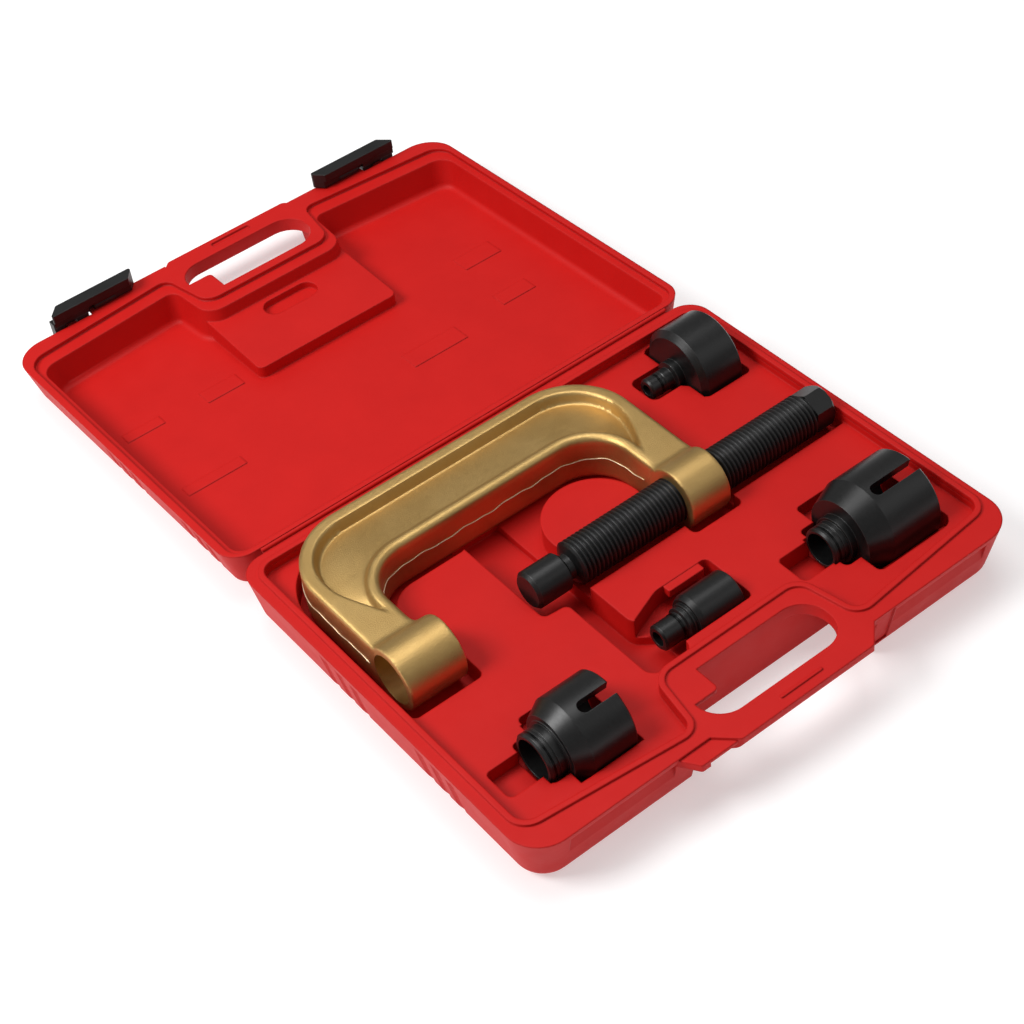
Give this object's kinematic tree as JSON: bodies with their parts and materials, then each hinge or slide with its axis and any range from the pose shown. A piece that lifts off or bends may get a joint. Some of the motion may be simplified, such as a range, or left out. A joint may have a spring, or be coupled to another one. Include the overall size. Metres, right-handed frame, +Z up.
{
  "type": "ball joint separator kit",
  "caption": "C-frame ball joint press with forcing screw and press adapters, nested in an open moulded carrying case.",
  "frame": {"origin": "on the floor under the middle of the case hinge, which is also the middle of the open kit", "axes": "+Z up; +X along the case hinge, from the plain bore towards the hex end of the screw; +Y from the base half to the open lid"},
  "size_m": [0.35, 0.5838, 0.0618],
  "materials": {
    "case_red": "satin, fine moulded grain",
    "latch_black": "satin",
    "frame_gold": "satin gold over a forging",
    "black_oxide": "black oxide",
    "spring_steel": "bright wire"
  },
  "bodies": {
    "base": {"base_shell": "case_red", "hinge_strip": "case_red", "tray_rear_left": "case_red", "tray_rear_middle": "case_red", "tray_rear_right": "case_red", "tray_front_left": "case_red", "tray_front_middle": "case_red", "tray_front_right": "case_red"},
    "lid": {"lid_shell": "case_red", "lid_liner": "case_red", "latch_pin_left": "spring_steel", "latch_pin_right": "spring_steel"},
    "left_latch": {"latch_left": "latch_black"},
    "right_latch": {"latch_right": "latch_black"},
    "press_frame": {"c_frame": "frame_gold"},
    "nose": {"nose_cap": "black_oxide", "nose_ring": "spring_steel"},
    "screw": {"forcing_screw": "black_oxide"},
    "cup": {"receiving_cup": "black_oxide", "cup_ring": "spring_steel"},
    "large_fork": {"large_sleeve": "black_oxide", "large_sleeve_ring": "spring_steel"},
    "small_fork": {"small_sleeve": "black_oxide", "small_sleeve_ring": "spring_steel"},
    "small_adapter": {"stud_adapter": "black_oxide", "stud_ring": "spring_steel"}
  },
  "joints": [
    {"name": "lid_hinge", "type": "hinge", "parent": "base", "child": "lid", "pos_m": [0, 0, 0.03815], "axis": [-1, 0, 0], "range_deg": [-182.11, 0]},
    {"name": "latch_left_turn", "type": "hinge", "parent": "lid", "child": "left_latch", "pos_m": [-0.127, 0.28647, 0.01844], "axis": [1, 0, 0], "range_deg": [-110, 10]},
    {"name": "latch_right_turn", "type": "hinge", "parent": "lid", "child": "right_latch", "pos_m": [0.127, 0.28647, 0.01844], "axis": [1, 0, 0], "range_deg": [-110, 10]},
    {"name": "frame_lift", "type": "slide", "parent": "base", "child": "press_frame", "axis": [0, 0, 1], "range_m": [0, 0.08]},
    {"name": "screw_feed", "type": "slide", "parent": "press_frame", "child": "nose", "axis": [1, 0, 0], "range_m": [-0.0022, 0.0022]},
    {"name": "screw_turn", "type": "hinge", "parent": "nose", "child": "screw", "pos_m": [0, -0.133, 0.038], "axis": [1, 0, 0], "range_deg": [-270, 270]},
    {"name": "cup_lift", "type": "slide", "parent": "base", "child": "cup", "axis": [0, 0, 1], "range_m": [0, 0.08]},
    {"name": "large_sleeve_lift", "type": "slide", "parent": "base", "child": "large_fork", "axis": [0, 0, 1], "range_m": [0, 0.08]},
    {"name": "small_sleeve_lift", "type": "slide", "parent": "base", "child": "small_fork", "axis": [0, 0, 1], "range_m": [0, 0.08]},
    {"name": "stud_adapter_lift", "type": "slide", "parent": "base", "child": "small_adapter", "axis": [0, 0, 1], "range_m": [0, 0.08]}
  ],
  "couplings": [
    {"joint": "screw_turn", "follows": "screw_feed", "rad_per_m": 2094.4}
  ]
}
